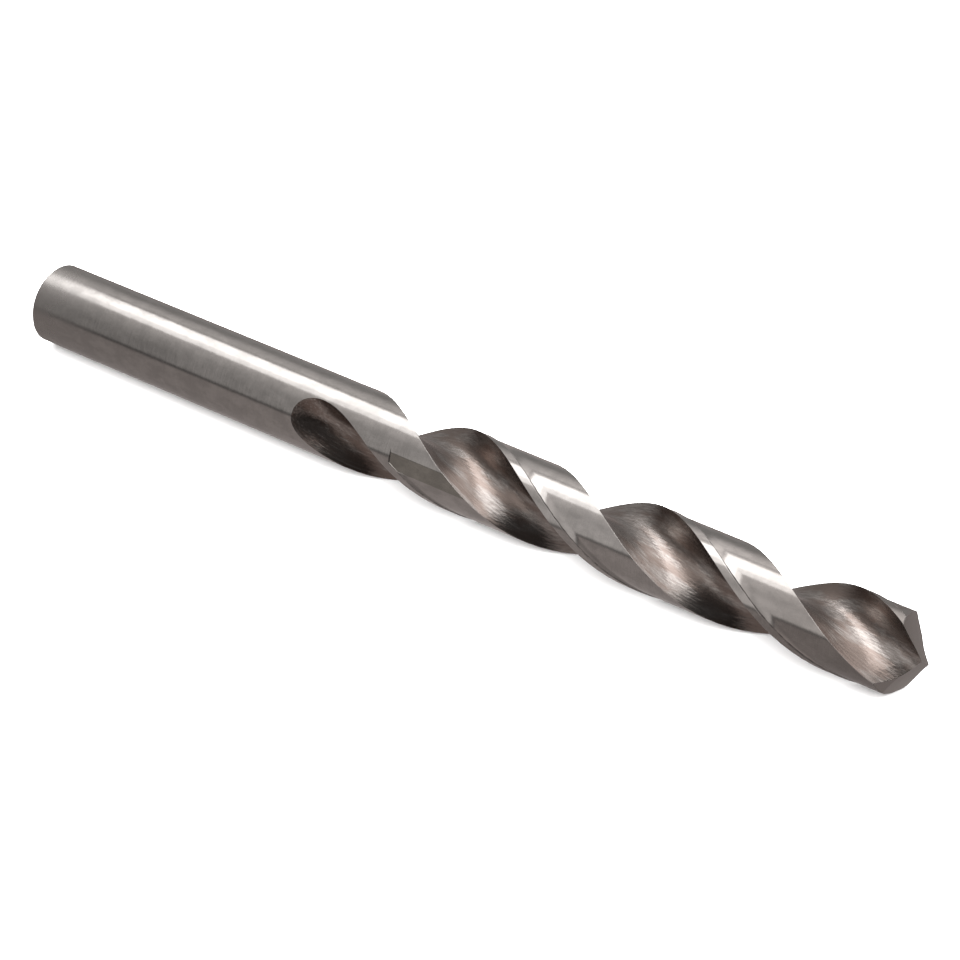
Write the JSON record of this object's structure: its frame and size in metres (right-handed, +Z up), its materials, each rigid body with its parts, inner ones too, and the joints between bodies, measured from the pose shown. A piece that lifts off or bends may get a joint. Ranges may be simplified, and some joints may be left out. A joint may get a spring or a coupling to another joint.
{
  "type": "twist drill bit",
  "caption": "Straight-shank twist drill bit with helical flutes, narrow ground margins and a 118-degree point, for drilling round holes in metal.",
  "frame": {"origin": "centre of the drill's footprint, on the surface that it lies on, under its axis", "axes": "+X along the drill's axis from the shank end to the point, +Z up"},
  "size_m": [0.1508, 0.012, 0.012],
  "materials": {
    "ground_steel": "bright ground high-speed steel, with darker flutes"
  },
  "bodies": {
    "root": {"twist_drill": "ground_steel"}
  },
  "joints": []
}
